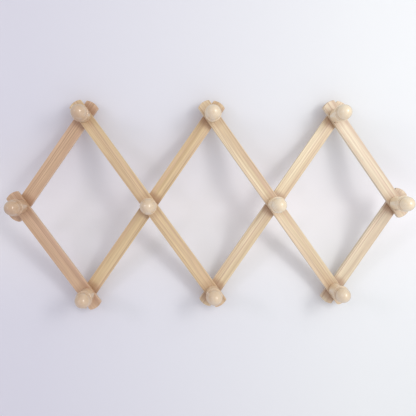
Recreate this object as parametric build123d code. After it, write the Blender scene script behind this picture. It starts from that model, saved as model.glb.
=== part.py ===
"""Wall mounted accordion peg rack: two layers of flat slats crossed as lazy tongs, with a turned peg at
every pivot.

Frame: millimetres, +X to the right along the wall, +Z up, and the wall is the plane Y = 0 with the room on
the -Y side. The origin is half way between the two hanging holes, on the wall plane.
"""
from build123d import *
import math
import os

# Driving dimensions of the lattice
PITCH = 160.0            # pivot to pivot along a slat
HANGER_SPACING = 370.0   # hole to hole between the two hanging holes, at the stored opening
HANGER_DROP = 30.0       # from the upper pivot down the slat to its hanging hole
CENTRE_COLUMN = 3        # pivots stand in columns 0 to 6
COLUMNS_BETWEEN_HANGERS = 4

# Slats
SLAT_WIDTH = 20.0
SLAT_THICKNESS = 7.0
LAYER_GAP = 0.4          # air between the two layers
END_CORNER = 20.5        # from the last pivot to the corners of a slat's end
END_TIP = 23.2           # from the last pivot to the top of the end's arc
CORNER_RADIUS = 1.2
EDGE_RADIUS = 0.7
BORE_RADIUS = 5.0
COUNTERBORE_RADIUS = 7.5
COUNTERBORE_DEPTH = 3.6
HANGER_RADIUS = 4.0
HANGER_DEPTH = 4.5

# Running fits
RADIAL_CLEARANCE = 0.05
FACE_CLEARANCE = 0.1

# Peg: a tenon, a barrel, a neck, the two turned rings of the head, and an egg shaped dome
TENON_RADIUS = BORE_RADIUS - RADIAL_CLEARANCE
TENON_CHAMFER = 0.5
FOOT_ROUND = 1.2
BARREL_RADIUS = 10.4
BARREL_SWELL = 0.2
BARREL_TOP = 18.8
BARREL_TOP_RADIUS = 9.3
NECK_RADIUS = 7.0
NECK_HEIGHT = 22.2
RIM = (25.4, 29.0, 10.8, 12.0)    # a ring's start, end, radius at its edges and radius at its crown
BEAD = (30.0, 32.4, 10.2, 11.0)
GROOVE_WIDTH = 1.0
GROOVE_DEPTH = 0.9                # below the edge of the ring before it
DOME_START = BEAD[1] + GROOVE_WIDTH
DOME_START_RADIUS = 10.0
DOME_RADIUS = 10.6
DOME_BASE = 36.4
NOSE_RADIUS = 8.4
PEG_HEIGHT = 49.0

# Washer and screw that hold the peg from behind
SCREW_RADIUS = 1.75
SCREW_LENGTH = 16.0
SCREW_POINT = 3.0
SCREW_HEAD_RADIUS = 3.6
SCREW_HEAD_HEIGHT = 2.2
SCREW_HEAD_RIM = 0.7
RECESS_LENGTH = 4.4
RECESS_WIDTH = 0.9
RECESS_DEPTH = 1.3
PILOT_RADIUS = SCREW_RADIUS + RADIAL_CLEARANCE
PILOT_SPARE = 1.0        # pilot hole beyond the screw's point
WASHER_RADIUS = 7.0
WASHER_THICKNESS = 1.0
WASHER_BORE_RADIUS = 2.2

# Worked out from the dimensions above
COLUMN_STEP = HANGER_SPACING / COLUMNS_BETWEEN_HANGERS
OPENING = math.degrees(math.acos(COLUMN_STEP / PITCH))   # a slat's angle from level
ROW_STEP = PITCH * math.sin(math.radians(OPENING))
HANGER_SHIFT_X = HANGER_DROP * math.cos(math.radians(OPENING))
HANGER_SHIFT_Z = HANGER_DROP * math.sin(math.radians(OPENING))
FRONT_LAYER = SLAT_THICKNESS + LAYER_GAP
SHOULDER = FRONT_LAYER + SLAT_THICKNESS + FACE_CLEARANCE
TENON_END = COUNTERBORE_DEPTH - FACE_CLEARANCE
TENON_LENGTH = SHOULDER - TENON_END
WASHER_BACK = TENON_END - WASHER_THICKNESS

# Pivot name: (column, row), with the rows at 1 above, 0 on and -1 below the centre line
PIVOTS = {
    "middle_far_left": (0, 0),
    "upper_left": (1, 1),
    "lower_left": (1, -1),
    "middle_left": (2, 0),
    "upper_centre": (3, 1),
    "lower_centre": (3, -1),
    "middle_right": (4, 0),
    "upper_right": (5, 1),
    "lower_right": (5, -1),
    "middle_far_right": (6, 0),
}

# Slat name: (first pivot, number of spans), and for the back layer whether it has a hanging hole. Back slats
# rise to the right and front slats fall.
BACK_SLATS = {
    "back_slat_1": ("middle_far_left", 1, True),
    "back_slat_2": ("lower_left", 2, False),
    "back_slat_3": ("lower_centre", 2, True),
    "back_slat_4": ("lower_right", 1, False),
}
FRONT_SLATS = {
    "front_slat_1": ("middle_far_left", 1),
    "front_slat_2": ("upper_left", 2),
    "front_slat_3": ("upper_centre", 2),
    "front_slat_4": ("upper_right", 1),
}


def pivot_xz(name):
    """Where a pivot's axis meets the wall plane."""
    column, row = PIVOTS[name]
    x = (column - CENTRE_COLUMN) * COLUMN_STEP + HANGER_SHIFT_X
    z = (row - 1) * ROW_STEP + HANGER_SHIFT_Z
    return x, z


def hang(piece, name, depth, turn=0):
    """Stands a piece that was made flat, with its back on XY and its front up, off the wall at a pivot."""
    x, z = pivot_xz(name)
    return Pos(x, -depth, z) * Rot(90, 0, 0) * Rot(0, 0, turn) * piece


def drilled(piece, x, radius, start, depth):
    """The piece with a round hole along +Z, centred at x on its long axis."""
    tool = Cylinder(radius, depth, align=(Align.CENTER, Align.CENTER, Align.MIN))
    return piece - Pos(x, 0, start) * tool


def blank(spans):
    """A slat before drilling: first pivot at the origin, arched ends and eased edges."""
    half = SLAT_WIDTH / 2
    last = spans * PITCH
    outline = [
        Line((-END_CORNER, -half), (last + END_CORNER, -half)),
        ThreePointArc((last + END_CORNER, -half), (last + END_TIP, 0), (last + END_CORNER, half)),
        Line((last + END_CORNER, half), (-END_CORNER, half)),
        ThreePointArc((-END_CORNER, half), (-END_TIP, 0), (-END_CORNER, -half)),
    ]
    body = extrude(make_face(outline), SLAT_THICKNESS)
    body = fillet(body.edges().filter_by(Axis.Z), CORNER_RADIUS)
    rims = body.edges().group_by(Axis.Z)
    return fillet(rims[0] + rims[-1], EDGE_RADIUS)


def front_slat(spans):
    """A slat of the front layer, with a plain bore for each peg's tenon."""
    slat = blank(spans)
    for span in range(spans + 1):
        slat = drilled(slat, span * PITCH, BORE_RADIUS, 0, SLAT_THICKNESS)
    return slat


def back_slat(spans, has_hanger):
    """A slat of the back layer, with each bore widened from behind for the washer and the screw's head."""
    slat = front_slat(spans)
    for span in range(spans + 1):
        slat = drilled(slat, span * PITCH, COUNTERBORE_RADIUS, 0, COUNTERBORE_DEPTH)
    if has_hanger:
        slat = drilled(slat, spans * PITCH - HANGER_DROP, HANGER_RADIUS, 0, HANGER_DEPTH)
    return slat


def turned(outline):
    """The solid that an outline of (radius, height) edges makes when it is spun about the Z axis."""
    return Rot(90, 0, 0) * revolve(make_face(outline), Axis.Y)


def ringed_neck():
    """The outline from the barrel's top to the dome's start: the neck, then each ring and its groove."""
    arcs = []
    here = (BARREL_TOP_RADIUS, BARREL_TOP)
    hollow = (NECK_RADIUS, NECK_HEIGHT)
    for start, end, edge_radius, crown_radius in (RIM, BEAD):
        low_edge = (edge_radius, start)
        high_edge = (edge_radius, end)
        arcs.append(ThreePointArc(here, hollow, low_edge))
        arcs.append(ThreePointArc(low_edge, (crown_radius, (start + end) / 2), high_edge))
        here = high_edge
        hollow = (edge_radius - GROOVE_DEPTH, end + GROOVE_WIDTH / 2)
    arcs.append(ThreePointArc(here, hollow, (DOME_START_RADIUS, DOME_START)))
    return arcs


def peg():
    """The turned peg, with its shoulder on XY, its tenon below and its head above."""
    pilot_top = SCREW_LENGTH - TENON_LENGTH - WASHER_THICKNESS + PILOT_SPARE
    swell = ((BARREL_RADIUS + BARREL_TOP_RADIUS) / 2 + BARREL_SWELL, (FOOT_ROUND + BARREL_TOP) / 2)
    dome_bulge = ((DOME_START_RADIUS + 3 * DOME_RADIUS) / 4, (DOME_START + DOME_BASE) / 2)
    # The dome is a side arc that starts upright at its base and meets a round nose smoothly
    nose_rise = PEG_HEIGHT - NOSE_RADIUS - DOME_BASE
    side_radius = (DOME_RADIUS**2 + nose_rise**2 - NOSE_RADIUS**2) / (2 * (DOME_RADIUS - NOSE_RADIUS))
    meeting = math.degrees(math.atan2(nose_rise, side_radius - DOME_RADIUS))
    straight = Polyline(
        (BARREL_RADIUS - FOOT_ROUND, 0),
        (TENON_RADIUS, 0),
        (TENON_RADIUS, TENON_CHAMFER - TENON_LENGTH),
        (TENON_RADIUS - TENON_CHAMFER, -TENON_LENGTH),
        (PILOT_RADIUS, -TENON_LENGTH),
        (PILOT_RADIUS, pilot_top),
        (0, pilot_top),
        (0, PEG_HEIGHT),
    )
    outline = [
        *straight.edges(),
        CenterArc((0, DOME_BASE + nose_rise), NOSE_RADIUS, meeting, 90 - meeting),
        CenterArc((DOME_RADIUS - side_radius, DOME_BASE), side_radius, 0, meeting),
        ThreePointArc((DOME_RADIUS, DOME_BASE), dome_bulge, (DOME_START_RADIUS, DOME_START)),
        *ringed_neck(),
        ThreePointArc((BARREL_TOP_RADIUS, BARREL_TOP), swell, (BARREL_RADIUS, FOOT_ROUND)),
        CenterArc((BARREL_RADIUS - FOOT_ROUND, FOOT_ROUND), FOOT_ROUND, -90, 90),
    ]
    return turned(outline)


def washer():
    """A flat washer with its back on XY."""
    disc = Cylinder(WASHER_RADIUS, WASHER_THICKNESS, align=(Align.CENTER, Align.CENTER, Align.MIN))
    return drilled(disc, 0, WASHER_BORE_RADIUS, 0, WASHER_THICKNESS)


def screw():
    """A pan head wood screw: the underside of its head on XY, its point up, a cross recess below."""
    crown_height = SCREW_HEAD_HEIGHT - SCREW_HEAD_RIM
    straight = Polyline(
        (SCREW_HEAD_RADIUS, -SCREW_HEAD_RIM),
        (SCREW_HEAD_RADIUS, 0),
        (SCREW_RADIUS, 0),
        (SCREW_RADIUS, SCREW_LENGTH - SCREW_POINT),
        (0, SCREW_LENGTH),
        (0, -SCREW_HEAD_HEIGHT),
    )
    outline = [
        *straight.edges(),
        EllipticalCenterArc((0, -SCREW_HEAD_RIM), SCREW_HEAD_RADIUS, crown_height, 270, arc_size=90),
    ]
    slot = Box(RECESS_LENGTH, RECESS_WIDTH, 2 * RECESS_DEPTH)
    recess = Pos(0, 0, -SCREW_HEAD_HEIGHT) * (slot + Rot(0, 0, 90) * slot)
    return turned(outline) - recess


def main():
    """Makes every piece, stands it at its pivot and writes it to parts/."""
    pieces = {}
    for name, (first_pivot, spans, has_hanger) in BACK_SLATS.items():
        pieces[name] = hang(back_slat(spans, has_hanger), first_pivot, 0, OPENING)
    for name, (first_pivot, spans) in FRONT_SLATS.items():
        pieces[name] = hang(front_slat(spans), first_pivot, FRONT_LAYER, -OPENING)
    for pivot in PIVOTS:
        pieces["peg_" + pivot] = hang(peg(), pivot, SHOULDER)
        pieces["washer_" + pivot] = hang(washer(), pivot, WASHER_BACK)
        pieces["screw_" + pivot] = hang(screw(), pivot, WASHER_BACK)
    os.makedirs("parts", exist_ok=True)
    for name, piece in pieces.items():
        export_step(piece, f"parts/{name}.step")


main()
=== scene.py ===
"""Looks of the accordion peg rack: pine slats, lacquered birch pegs and zinc plated fixings."""
import math

import bpy
from mathutils import Matrix, Vector


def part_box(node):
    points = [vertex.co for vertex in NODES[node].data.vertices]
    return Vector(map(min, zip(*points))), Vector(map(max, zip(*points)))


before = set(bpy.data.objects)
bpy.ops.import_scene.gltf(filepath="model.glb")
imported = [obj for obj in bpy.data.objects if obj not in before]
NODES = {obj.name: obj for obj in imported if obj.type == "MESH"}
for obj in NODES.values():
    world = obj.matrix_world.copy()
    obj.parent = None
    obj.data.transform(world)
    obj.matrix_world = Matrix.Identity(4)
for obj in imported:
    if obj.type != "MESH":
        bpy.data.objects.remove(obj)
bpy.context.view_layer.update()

MM = 0.001
NOISE_MIDDLE = 0.5          # what the noise averages


# ---------------------------------------------------------------- small helpers

def srgb(red, green, blue):
    """A linear colour from the 0 to 255 values of a colour picker."""
    def linear(value):
        value /= 255
        return value / 12.92 if value <= 0.04045 else ((value + 0.055) / 1.055) ** 2.4
    return (linear(red), linear(green), linear(blue), 1.0)


def middle(node):
    """The middle of a CAD node's box."""
    low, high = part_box(node)
    return (low + high) / 2


class Graph:
    """A material's node tree, with short calls for the nodes that these materials use."""

    def __init__(self, name):
        self.material = bpy.data.materials.new(name)
        self.material.use_nodes = True
        self.tree = self.material.node_tree
        self.shader = self.tree.nodes["Principled BSDF"]

    def feed(self, socket, value):
        """Links a node's output to a socket, or sets the socket to a plain value."""
        if isinstance(value, bpy.types.NodeSocket):
            self.tree.links.new(value, socket)
        else:
            socket.default_value = value

    def node(self, kind, inputs=None, **settings):
        """Adds a shader node, with its settings and what goes into its sockets."""
        made = self.tree.nodes.new("ShaderNode" + kind)
        for key, value in settings.items():
            setattr(made, key, value)
        for key, value in (inputs or {}).items():
            self.feed(made.inputs[key], value)
        return made

    def math(self, operation, *values):
        """One step of arithmetic."""
        return self.node("Math", dict(enumerate(values)), operation=operation).outputs[0]

    def vector(self, operation, first, second=None):
        """One step of vector arithmetic."""
        inputs = {0: first} if second is None else {0: first, 1: second}
        made = self.node("VectorMath", inputs, operation=operation)
        return made.outputs["Value" if operation == "LENGTH" else "Vector"]

    def noise(self, vector, scale, detail, roughness=0.5, seed=0.0):
        """Noise from 0 to 1, averaging NOISE_MIDDLE."""
        inputs = {"Vector": vector, "Scale": scale, "Detail": detail, "Roughness": roughness, "W": seed}
        return self.node("TexNoise", inputs, noise_dimensions="4D").outputs["Fac"]

    def marks(self, vector, kind, seed):
        """The noise behind one kind of mark: how fine it is per metre on each axis, its detail and
        roughness, and what it adds to the seed."""
        fineness, detail, roughness, shift = kind
        return self.noise(self.vector("MULTIPLY", vector, fineness), 1.0, detail, roughness, seed + shift)

    def ramp(self, value, stops, interpolation="LINEAR"):
        """A colour ramp over (position, colour) stops."""
        made = self.node("ValToRGB", {"Fac": value})
        made.color_ramp.interpolation = interpolation
        elements = made.color_ramp.elements
        while len(elements) < len(stops):
            elements.new(0.5)
        for element, (position, colour) in zip(elements, stops):
            element.position = position
            element.color = colour
        return made.outputs["Color"]

    def grey_ramp(self, value, stops, interpolation="LINEAR"):
        """A ramp of plain numbers."""
        return self.ramp(value, [(at, (grey, grey, grey, 1.0)) for at, grey in stops], interpolation)

    def mix(self, share, first, second, blend="MIX"):
        """Two colours mixed."""
        made = self.node("Mix", {"Factor": share}, data_type="RGBA", blend_type=blend)
        colours = [socket for socket in made.inputs if socket.type == "RGBA"]
        self.feed(colours[0], first)
        self.feed(colours[1], second)
        return next(socket for socket in made.outputs if socket.type == "RGBA")

    def set(self, **values):
        """Sets or links the Principled shader's sockets, named with underscores for spaces."""
        for key, value in values.items():
            self.feed(self.shader.inputs[key.replace("_", " ")], value)

    def bump(self, height, distance, strength, under=None):
        """A normal from a height between 0 and 1 over a real distance, on top of the one under it."""
        inputs = {"Height": height, "Distance": distance, "Strength": strength}
        if under is not None:
            inputs["Normal"] = under
        return self.node("Bump", inputs).outputs["Normal"]


# ---------------------------------------------------------------- wood

# The boards, by slat number: the palest and the darkest of the plain wood. Both layers share them. They
# differ as boards do, and partly as painted light: darkest on the first board and palest on the third
BOARD_TONES_AND_LIGHT = {
    "1": (srgb(222, 185, 147), srgb(195, 154, 114)),
    "2": (srgb(234, 207, 159), srgb(205, 172, 122)),
    "3": (srgb(246, 227, 189), srgb(220, 194, 151)),
    "4": (srgb(238, 222, 189), srgb(212, 189, 155)),
}
PINE_PINK = srgb(214, 172, 144)
PINE_LATE = srgb(176, 134, 92)
PINE_LINE = srgb(168, 124, 86)
PINE_END = srgb(188, 150, 106)
# Rubbed wood round the pivots, and on the back slats painted shade under the front slat
PINE_RUBBED_AND_SHADED = srgb(158, 108, 70)

# The marks in pine: how fine they are along, through and across a slat, detail, roughness and shift of seed
PINE_SWAY = ((5, 30, 30), 2, 0.5, 0.0)
PINE_STREAKS = ((4, 130, 150), 3, 0.6, 3.1)
PINE_VEINS = ((3, 300, 480), 2, 0.5, 5.9)
PINE_BLUSH = ((7, 60, 90), 2, 0.5, 8.7)
PINE_FIBRE = ((45, 1500, 1500), 4, 0.65, 1.7)
PINE_LINES = ((2.5, 500, 640), 1, 0.4, 7.3)

# How strongly each mark shows, from 0 to 1, as its noise rises
STREAKS_SHOW = [(0.4, 0.0), (0.6, 1.0)]
BLUSH_SHOWS = [(0.48, 0.0), (0.78, 0.6)]
VEINS_SHOW = [(0.52, 0.0), (0.66, 0.55)]
LINES_SHOW = [(0.6, 0.0), (0.68, 0.6)]
FIBRE_SHADE = [(0.25, 0.80), (0.5, 1.0), (0.8, 1.06)]
FIBRE_ROUGHNESS = [(0.2, 0.62), (0.8, 0.46)]
FIBRE_RELIEF = (0.05 * MM, 0.6)         # a depth, and how much of it shows
PINE_RING_RELIEF = (0.06 * MM, 0.5)

PINE_RING = 2.9 * MM                    # the width of a growth ring
PINE_SWAY_REACH = 9 * MM                # how far the grain wanders
PINE_RINGS_RUN = 0.012                  # how fast the rings drift along a slat, as a share of across it
# How dark the late wood is through one ring, how that differs from ring to ring, and how much of it shows
PINE_RING_SHADE = [(0.0, 0.25), (0.12, 0.0), (0.55, 0.12), (0.88, 1.0), (1.0, 0.3)]
LATE_SPREAD = 0.5
LATE_LEAST = 0.35
LATE_SHOWS = 0.6

# From pivot to pivot along a slat
PITCH = (middle("peg_upper_left") - middle("peg_middle_far_left")).length
SLAT_HALF = 10 * MM                     # half a slat's width
# Paler long corners: worn wood, and a painted highlight along the edges
CORNER_WEAR_AND_HIGHLIGHT = [(0.86, 0.0), (0.97, 0.7)]        # from a slat's middle line to its edge
RUBBED_AND_SHADED_REACH = 24 * MM                  # from a pivot to where the darker wood round it ends
RUBBED_AND_SHADED_PLATEAU = 0.42                   # how much of that reach is evenly dark
RUBBED_AND_SHADED_FADE = (0.6, 0.8)                # a place on the fade, and how much of the darkness is left there
# How dark the wood is round a pivot, from 0 to 1. On the front slats it is rubbed wood. On the back slats it
# is
# more than rubbing leaves: rubbed wood and painted shade under the slat in front
RUBBED_AND_SHADED = {"back": 0.8, "front": 0.28}
END_GRAIN_SHOWS = [(0.45, 0.0), (0.8, 0.55)]    # as a face turns to the slat's ends


def growth_rings(graph, along, pith, seed):
    """How dark the late wood is, from growth rings round the pith that wander a little along the slat."""
    sway = graph.math("SUBTRACT", graph.marks(along, PINE_SWAY, seed), NOISE_MIDDLE)
    sway = graph.math("MULTIPLY", sway, PINE_SWAY_REACH)
    flat = graph.vector("MULTIPLY", along, (PINE_RINGS_RUN, 1.0, 1.0))
    drift = graph.node("CombineXYZ", {"X": 0.0, "Y": sway, "Z": sway}).outputs["Vector"]
    swayed = graph.vector("ADD", flat, drift)
    across, behind = pith
    radius = graph.vector("LENGTH", graph.vector("SUBTRACT", swayed, (0.0, behind, across)))
    rings = graph.math("DIVIDE", radius, PINE_RING)
    late = graph.grey_ramp(graph.math("FRACT", rings), PINE_RING_SHADE)
    ring_seed = graph.math("ADD", graph.math("FLOOR", rings), seed)
    depth = graph.node("TexWhiteNoise", {"W": ring_seed}, noise_dimensions="1D").outputs["Value"]
    return graph.math("MULTIPLY", late, graph.math("MULTIPLY_ADD", depth, LATE_SPREAD, LATE_LEAST))


def pivot_shade(graph, distance_along, aside, darkness):
    """How dark the wood is round each pivot, rubbed wood and painted shade, fading out with the distance
    from it.
    """
    from_pivot = graph.math("PINGPONG", distance_along, PITCH / 2)
    squares = graph.math("ADD", graph.math("POWER", from_pivot, 2.0), graph.math("POWER", aside, 2.0))
    reach = graph.math("DIVIDE", graph.math("SQRT", squares), RUBBED_AND_SHADED_REACH)
    faded_at, faded_to = RUBBED_AND_SHADED_FADE
    stops = [(RUBBED_AND_SHADED_PLATEAU, darkness), (faded_at, faded_to * darkness), (1.0, 0.0)]
    return graph.grey_ramp(reach, stops, "EASE")


def pine(name, board, darkness, start, angle, seed, pith):
    """Planed pine whose grain runs along a slat. board gives its plain colours, partly painted light, and
    darkness how dark it is round its pivots, from rubbing and painted shade. start is the slat's first pivot
    and angle its slope. pith is where the tree's centre was, across and behind the slat, which sets how its
    growth rings are cut."""
    graph = Graph(name)
    coordinates = graph.node("TexCoord").outputs
    turned = Matrix.Rotation(angle, 3, "Y") @ start
    settings = {"Vector": coordinates["Object"], "Rotation": (0.0, angle, 0.0), "Location": -turned}
    along = graph.node("Mapping", settings).outputs["Vector"]
    late = growth_rings(graph, along, pith, seed)
    streaks = graph.marks(along, PINE_STREAKS, seed)
    blush = graph.marks(along, PINE_BLUSH, seed)
    veins = graph.marks(along, PINE_VEINS, seed)
    lines = graph.marks(along, PINE_LINES, seed)
    fibre = graph.marks(along, PINE_FIBRE, seed)
    colour = graph.mix(graph.grey_ramp(streaks, STREAKS_SHOW), *board)
    colour = graph.mix(graph.grey_ramp(blush, BLUSH_SHOWS), colour, PINE_PINK)
    colour = graph.mix(graph.grey_ramp(veins, VEINS_SHOW), colour, PINE_PINK)
    colour = graph.mix(graph.grey_ramp(lines, LINES_SHOW), colour, PINE_LINE)
    colour = graph.mix(graph.math("MULTIPLY", late, LATE_SHOWS), colour, PINE_LATE)
    colour = graph.mix(1.0, colour, graph.grey_ramp(fibre, FIBRE_SHADE), "MULTIPLY")

    # The long corners are paler: worn wood, and a painted highlight along the edges
    place = graph.node("SeparateXYZ", {0: along}).outputs
    aside = graph.math("ABSOLUTE", place["Z"])
    worn_and_lit = graph.grey_ramp(graph.math("DIVIDE", aside, SLAT_HALF), CORNER_WEAR_AND_HIGHLIGHT)
    colour = graph.mix(graph.math("MULTIPLY", worn_and_lit, streaks), colour, board[0])
    # Darker wood round each pivot: rubbed wood, and on the back slats painted shade under the front slat
    colour = graph.mix(pivot_shade(graph, place["X"], aside, darkness), colour, PINE_RUBBED_AND_SHADED)

    # End grain takes up more lacquer and is darker
    face = graph.node("Mapping", {"Vector": coordinates["Normal"], "Rotation": (0.0, angle, 0.0)})
    endwise = graph.node("SeparateXYZ", {0: face.outputs["Vector"]}).outputs["X"]
    end_grain = graph.grey_ramp(graph.math("ABSOLUTE", endwise), END_GRAIN_SHOWS)
    colour = graph.mix(end_grain, colour, PINE_END)

    relief = graph.bump(fibre, *FIBRE_RELIEF, graph.bump(late, *PINE_RING_RELIEF))
    graph.set(Base_Color=colour, Roughness=graph.grey_ramp(fibre, FIBRE_ROUGHNESS), Normal=relief)
    graph.set(Specular_IOR_Level=0.5, Coat_Weight=1.0, Coat_Roughness=0.43, Coat_IOR=1.9)
    return graph.material


# The palest and the warmest of a peg's wood, on the darkest peg and on the palest. The step from one to the
# other is partly the wood's own colour and partly painted light
BIRCH_DARK_AND_SHADED = (srgb(206, 171, 139), srgb(188, 149, 116))
BIRCH_PALE_AND_LIT = (srgb(255, 241, 215), srgb(246, 223, 187))
BIRCH_FLECK = srgb(196, 160, 128)
# Darker in the hollows of the turning: pooled lacquer and painted shade
BIRCH_POOL_AND_SHADE = srgb(172, 124, 84)

# The marks in birch, as in pine, with the peg's axis along Y
BIRCH_SWAY = ((60, 12, 60), 2, 0.5, 0.0)
BIRCH_CLOUD = ((120, 30, 120), 3, 0.6, 4.2)
BIRCH_FLECKS = ((2200, 160, 2200), 3, 0.6, 6.6)
BIRCH_TOOLING = ((0, 1900, 0), 2, 0.6, 2.4)     # the fine rings that the lathe tool leaves
CLOUD_SHOWS = [(0.35, 0.0), (0.7, 1.0)]
FLECKS_SHOW = [(0.62, 0.0), (0.74, 0.55)]
CLOUD_ROUGHNESS = [(0.3, 0.45), (0.7, 0.6)]
FLECK_RELIEF = (0.03 * MM, 0.25)
TOOLING_RELIEF = (0.02 * MM, 0.4)

BIRCH_RING = 2.2 * MM
BIRCH_RING_SHADE = [(0.0, 0.3), (0.15, 0.0), (0.6, 0.1), (0.9, 1.0), (1.0, 0.4)]
BIRCH_LATE_SHOWS = 0.6
BIRCH_SWAY_REACH = 3 * MM
BIRCH_PITH_AWAY = 30 * MM       # from a peg's axis to its tree's centre
BIRCH_PITH_TURN = 2.1           # radians from one seed's tree centre to the next seed's, round the axis

PEG_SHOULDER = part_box("front_slat_1")[0].y      # where the pegs stand on the front slats, along Y
# Each hollow of the turning: how far from the shoulder it is, and its half width
HOLLOWS = [(22.0 * MM, 3.4 * MM), (29.5 * MM, 0.7 * MM), (32.9 * MM, 0.7 * MM)]
POOL_AND_SHADE_SHOWS = [(0.0, 0.8), (1.0, 0.0)]   # from a hollow's middle to its edge


def blend(share, first, second):
    """A colour part of the way from one to another."""
    return tuple(low + (high - low) * share for low, high in zip(first, second))


def pooled_lacquer_and_shade(graph, place):
    """How dark the hollows of the turning are, from lacquer pooled in them and from painted shade."""
    rise = graph.math("SUBTRACT", PEG_SHOULDER, graph.node("SeparateXYZ", {0: place}).outputs["Y"])
    pooled_and_shaded = 0.0
    for height, half_width in HOLLOWS:
        away = graph.math("ABSOLUTE", graph.math("SUBTRACT", rise, height))
        share = graph.math("DIVIDE", away, half_width)
        pooled_and_shaded = graph.math("MAXIMUM", pooled_and_shaded, graph.grey_ramp(share, POOL_AND_SHADE_SHOWS, "EASE"))
    return pooled_and_shaded


def birch(name, axis_point, paleness_and_light, seed):
    """Turned and lacquered birch whose grain runs along a peg's axis, through axis_point along Y. Its
    paleness goes from 0 for dark wood to 1 for pale, partly the wood's own colour and partly painted light."""
    graph = Graph(name)
    place = graph.node("TexCoord").outputs["Object"]
    centred = graph.vector("SUBTRACT", place, axis_point)
    pith_angle = seed * BIRCH_PITH_TURN
    pith = (math.sin(pith_angle) * BIRCH_PITH_AWAY, 0.0, math.cos(pith_angle) * BIRCH_PITH_AWAY)
    flat = graph.vector("MULTIPLY", graph.vector("SUBTRACT", centred, pith), (1.0, 0.0, 1.0))
    sway = graph.math("MULTIPLY", graph.marks(centred, BIRCH_SWAY, seed), BIRCH_SWAY_REACH)
    rings = graph.math("DIVIDE", graph.math("ADD", graph.vector("LENGTH", flat), sway), BIRCH_RING)
    late = graph.grey_ramp(graph.math("FRACT", rings), BIRCH_RING_SHADE)
    cloud = graph.marks(centred, BIRCH_CLOUD, seed)
    flecks = graph.marks(centred, BIRCH_FLECKS, seed)
    tooling = graph.marks(place, BIRCH_TOOLING, seed)
    pale, warm = (blend(paleness_and_light, dark, light) for dark, light in zip(BIRCH_DARK_AND_SHADED, BIRCH_PALE_AND_LIT))
    colour = graph.mix(graph.grey_ramp(cloud, CLOUD_SHOWS), pale, warm)
    colour = graph.mix(graph.math("MULTIPLY", late, BIRCH_LATE_SHOWS), colour, warm)
    colour = graph.mix(graph.grey_ramp(flecks, FLECKS_SHOW), colour, BIRCH_FLECK)
    # Darker in the hollows: pooled lacquer and painted shade
    colour = graph.mix(pooled_lacquer_and_shade(graph, place), colour, BIRCH_POOL_AND_SHADE)
    relief = graph.bump(flecks, *FLECK_RELIEF, graph.bump(tooling, *TOOLING_RELIEF))
    graph.set(Base_Color=colour, Roughness=graph.grey_ramp(cloud, CLOUD_ROUGHNESS), Normal=relief)
    graph.set(Coat_Weight=1.0, Coat_Roughness=0.05, Coat_IOR=1.8)
    return graph.material


# ---------------------------------------------------------------- metal

ZINC_WASHER = srgb(176, 176, 172)
ZINC_SCREW = srgb(190, 184, 160)
ZINC_DULL = srgb(128, 124, 116)
ZINC_CLOUD_SCALE = 260.0
ZINC_CLOUD_DETAIL = 4
ZINC_CLOUD_ROUGHNESS = 0.6
ZINC_SCUFFS = ((900, 900, 4000), 3, 0.6, 2.0)
DULL_SHOWS = [(0.35, 0.0), (0.7, 0.6)]
SCUFF_ROUGHNESS = [(0.3, 0.28), (0.7, 0.5)]
SCUFF_RELIEF = (0.02 * MM, 0.4)


def zinc(name, tint, seed):
    """Zinc plated steel, dulled and scuffed."""
    graph = Graph(name)
    place = graph.node("TexCoord").outputs["Object"]
    cloud = graph.noise(place, ZINC_CLOUD_SCALE, ZINC_CLOUD_DETAIL, ZINC_CLOUD_ROUGHNESS, seed)
    scuffs = graph.marks(place, ZINC_SCUFFS, seed)
    colour = graph.mix(graph.grey_ramp(cloud, DULL_SHOWS), tint, ZINC_DULL)
    graph.set(Base_Color=colour, Metallic=1.0, Roughness=graph.grey_ramp(scuffs, SCUFF_ROUGHNESS))
    graph.set(Normal=graph.bump(scuffs, *SCUFF_RELIEF))
    return graph.material


# ---------------------------------------------------------------- dressing the CAD nodes

def dress(node, material):
    """Gives a CAD node its material."""
    NODES[node].data.materials.clear()
    NODES[node].data.materials.append(material)


# Each slat's first and last pegs, and where the pith was, across and behind it, in millimetres
SLATS = {
    "back_slat_1": ("middle_far_left", "upper_left", (-34, -60)),
    "back_slat_2": ("lower_left", "upper_centre", (4, -48)),
    "back_slat_3": ("lower_centre", "upper_right", (52, -30)),
    "back_slat_4": ("lower_right", "middle_far_right", (-12, -55)),
    "front_slat_1": ("middle_far_left", "lower_left", (40, -42)),
    "front_slat_2": ("upper_left", "lower_centre", (-6, -38)),
    "front_slat_3": ("upper_centre", "lower_right", (-48, -52)),
    "front_slat_4": ("upper_right", "middle_far_right", (16, -46)),
}
SLAT_SEEDS = (2.0, 11.0)        # the first slat's seed, and the step from one slat to the next


def dress_slats():
    """Cuts every slat from its own piece of pine."""
    first_seed, seed_step = SLAT_SEEDS
    for index, (node, (first_peg, last_peg, pith)) in enumerate(SLATS.items()):
        layer, board = node.split("_slat_")
        first = middle("peg_" + first_peg)
        last = middle("peg_" + last_peg)
        first.y = middle(node).y
        angle = math.atan2(last.z - first.z, last.x - first.x)
        seed = seed_step * index + first_seed
        pith = [distance * MM for distance in pith]
        dress(node, pine(node + "_pine", BOARD_TONES_AND_LIGHT[board], RUBBED_AND_SHADED[layer], first, angle, seed, pith))


# How pale each peg is, from 0 to 1: partly the wood's own colour, and partly painted light, paler to the
# right
PEG_TONES_AND_LIGHT = {
    "middle_far_left": 0.1,
    "upper_left": 0.25,
    "lower_left": 0.3,
    "middle_left": 0.55,
    "upper_centre": 0.8,
    "lower_centre": 0.55,
    "middle_right": 1.0,
    "upper_right": 1.0,
    "lower_right": 0.7,
    "middle_far_right": 1.0,
}
PEG_SEEDS = (1.0, 3.0)          # the first peg's seed, and the step from one peg to the next
WASHER_SEED = 1.0
SCREW_SEED = 5.0


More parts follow.
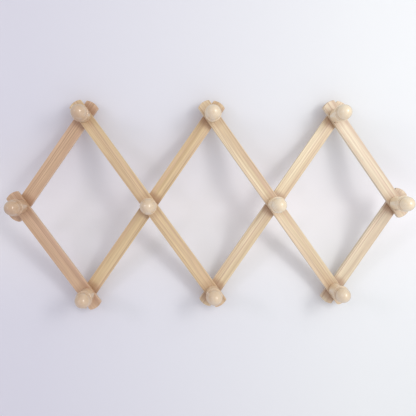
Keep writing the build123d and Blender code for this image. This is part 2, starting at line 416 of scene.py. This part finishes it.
def dress_pegs_and_fixings():
    """Lacquers the pegs and plates the washers and screws."""
    washers = zinc("washer_zinc", ZINC_WASHER, WASHER_SEED)
    screws = zinc("screw_zinc", ZINC_SCREW, SCREW_SEED)
    first_seed, seed_step = PEG_SEEDS
    for index, (pivot, paleness_and_light) in enumerate(PEG_TONES_AND_LIGHT.items()):
        node = "peg_" + pivot
        dress(node, birch(node + "_birch", middle(node), paleness_and_light, seed_step * index + first_seed))
        dress("washer_" + pivot, washers)
        dress("screw_" + pivot, screws)


# ---------------------------------------------------------------- stage, light and camera

def sheet(name, corners, faces, material):
    """A thin surface that isn't part of the object."""
    mesh = bpy.data.meshes.new(name)
    mesh.from_pydata(corners, [], faces)
    mesh.materials.append(material)
    made = bpy.data.objects.new(name, mesh)
    bpy.context.scene.collection.objects.link(made)
    return made


# The backdrop paint darkens towards the left: painted shade
STAGE_LIT_RIGHT = srgb(239, 241, 244)
STAGE_SHADED_LEFT = srgb(229, 228, 239)
# Painted light: the backdrop is whiter where it hangs deeper behind the rack
STAGE_PAINTED_LIGHT = srgb(251, 249, 254)
PAINTED_SHADE_SLOPE = 2.0           # how fast the backdrop pales to the right, per metre
PAINTED_SHADE_MIDDLE = 0.5          # how pale it is at the origin, from 0 to 1
STAGE_CLOUD_SCALE = 3.0
STAGE_CLOUD_DETAIL = 3
PAINTED_LIGHT_SHOWS = [(0.1, 0.0), (1.0, 1.0)]      # as the backdrop hangs deeper
PAINTED_LIGHT_LEAST = 0.3           # what the paint's cloudy whiteness starts from

WALL_REACH = 3.0            # metres to each side, and up
FLOOR_LEVEL = -0.62
PAPER_GAP = 4 * MM          # how far behind the rack the backdrop hangs at the upper and lower pivots
PAPER_VALLEY = 50 * MM      # how much deeper it hangs behind the middle row
VALLEY_HALF_HEIGHT = 88 * MM
PAPER_STEP = 8 * MM
PAPER_STEPS = 35            # above the middle row, and as many below it


def paint(name, one_sided):
    """Matt pale paint, with painted shade that darkens it towards the left and painted light that whitens it
    where the backdrop hangs deeper. One sided paint is clear from behind.
    """
    graph = Graph(name)
    place = graph.node("TexCoord").outputs["Object"]
    parts = graph.node("SeparateXYZ", {0: place}).outputs
    pale = graph.math("MULTIPLY_ADD", parts["X"], PAINTED_SHADE_SLOPE, PAINTED_SHADE_MIDDLE)
    shaded_to_left = graph.mix(pale, STAGE_SHADED_LEFT, STAGE_LIT_RIGHT)
    # Painted light where the backdrop hangs deeper
    depth = graph.math("DIVIDE", parts["Y"], PAPER_GAP + PAPER_VALLEY)
    cloud = graph.math("ADD", graph.noise(place, STAGE_CLOUD_SCALE, STAGE_CLOUD_DETAIL), PAINTED_LIGHT_LEAST)
    painted_light = graph.math("MULTIPLY", graph.grey_ramp(depth, PAINTED_LIGHT_SHOWS), cloud)
    graph.set(Base_Color=graph.mix(painted_light, shaded_to_left, STAGE_PAINTED_LIGHT), Roughness=0.9)
    if one_sided:
        behind = graph.node("NewGeometry").outputs["Backfacing"]
        clear = graph.node("BsdfTransparent").outputs[0]
        shown = graph.node("MixShader", {0: behind, 1: graph.shader.outputs[0], 2: clear}).outputs[0]
        graph.feed(graph.tree.nodes["Material Output"].inputs["Surface"], shown)
    return graph.material


def paper_depth(height):
    """How far behind the wall plane the backdrop paper hangs at a height."""
    share = (height - middle("peg_middle_left").z) / VALLEY_HALF_HEIGHT
    return PAPER_GAP + PAPER_VALLEY * math.exp(-share * share)


def make_stage():
    """Pale paper that bellies away behind the rack's middle row, and a pale floor below the view."""
    centre = middle("peg_middle_left").z
    bend = [centre + PAPER_STEP * step for step in range(-PAPER_STEPS, PAPER_STEPS + 1)]
    levels = [FLOOR_LEVEL, *bend, WALL_REACH]
    corners = [(side, paper_depth(level), level) for level in levels for side in (-WALL_REACH, WALL_REACH)]
    strips = [(2 * row, 2 * row + 1, 2 * row + 3, 2 * row + 2) for row in range(len(levels) - 1)]
    paper = sheet("paper", corners, strips, paint("paper_paint", True))
    for polygon in paper.data.polygons:
        polygon.use_smooth = True
    paper.visible_diffuse = False
    paper.visible_glossy = False
    paper.visible_shadow = False
    floor = [(across * WALL_REACH, deep * WALL_REACH, FLOOR_LEVEL)
             for across, deep in ((-1, -1), (1, -1), (1, 1), (-1, 1))]
    sheet("floor", floor, [(0, 1, 2, 3)], paint("floor_paint", False))


LIGHT_AIM = Vector((0.02, 0.0, -0.1))
WARM_LIGHT = (1.0, 0.995, 0.96)
VIOLET_LIGHT = (0.95, 0.88, 1.0)
SURROUND_COLOUR = (0.99, 0.99, 1.0, 1.0)
SURROUND_STRENGTH = 0.62


def softbox(name, place, size, watts, colour):
    """A rectangular area light that faces the rack."""
    light = bpy.data.lights.new(name, "AREA")
    light.shape = "RECTANGLE"
    light.size, light.size_y = size
    light.energy = watts
    light.color = colour
    lamp = bpy.data.objects.new(name, light)
    lamp.location = place
    lamp.rotation_euler = (LIGHT_AIM - Vector(place)).to_track_quat("-Z", "Y").to_euler()
    bpy.context.scene.collection.objects.link(lamp)


def make_lights():
    """A large soft panel at the right with a small bright one just in front of it, a weaker softbox at the
    left, and an even pale surround."""
    softbox("right_softbox", (0.77, -1.02, 0.23), (0.75, 1.15), 4.2, WARM_LIGHT)
    softbox("right_window", (0.75, -1.0, 0.225), (0.22, 0.4), 2.5, WARM_LIGHT)
    softbox("left_softbox", (-1.5, -1.2, 0.4), (0.3, 0.46), 3.0, VIOLET_LIGHT)
    world = bpy.data.worlds.new("studio")
    world.use_nodes = True
    surround = world.node_tree.nodes["Background"]
    surround.inputs["Color"].default_value = SURROUND_COLOUR
    surround.inputs["Strength"].default_value = SURROUND_STRENGTH
    bpy.context.scene.world = world


CAMERA_AIM = Vector((11.0, -10.7, -111.0)) * MM
CAMERA_AWAY = 740.7 * MM
CAMERA_HEADING = math.radians(3.264)        # turned to the right of straight at the wall
CAMERA_PITCH = math.radians(-3.156)
CAMERA_ROLL = math.radians(0.426)
CAMERA_NEAREST = 10 * MM
SENSOR = 36.0
LENS = 43.269


def make_camera():
    """A camera a little left of and above the rack's middle, turned a few degrees towards it."""
    data = bpy.data.cameras.new("camera")
    data.sensor_width = SENSOR
    data.lens = LENS
    data.clip_start = CAMERA_NEAREST
    camera = bpy.data.objects.new("camera", data)
    turn = Matrix.Rotation(-CAMERA_HEADING, 3, "Z") @ Matrix.Rotation(math.pi / 2 + CAMERA_PITCH, 3, "X")
    turn = turn @ Matrix.Rotation(-CAMERA_ROLL, 3, "Z")
    place = CAMERA_AIM + turn @ Vector((0, 0, CAMERA_AWAY))
    camera.matrix_world = Matrix.Translation(place) @ turn.to_4x4()
    bpy.context.scene.collection.objects.link(camera)
    bpy.context.scene.camera = camera


make_camera()
make_stage()
make_lights()
dress_slats()
dress_pegs_and_fixings()
bpy.context.scene.view_settings.view_transform = "Standard"
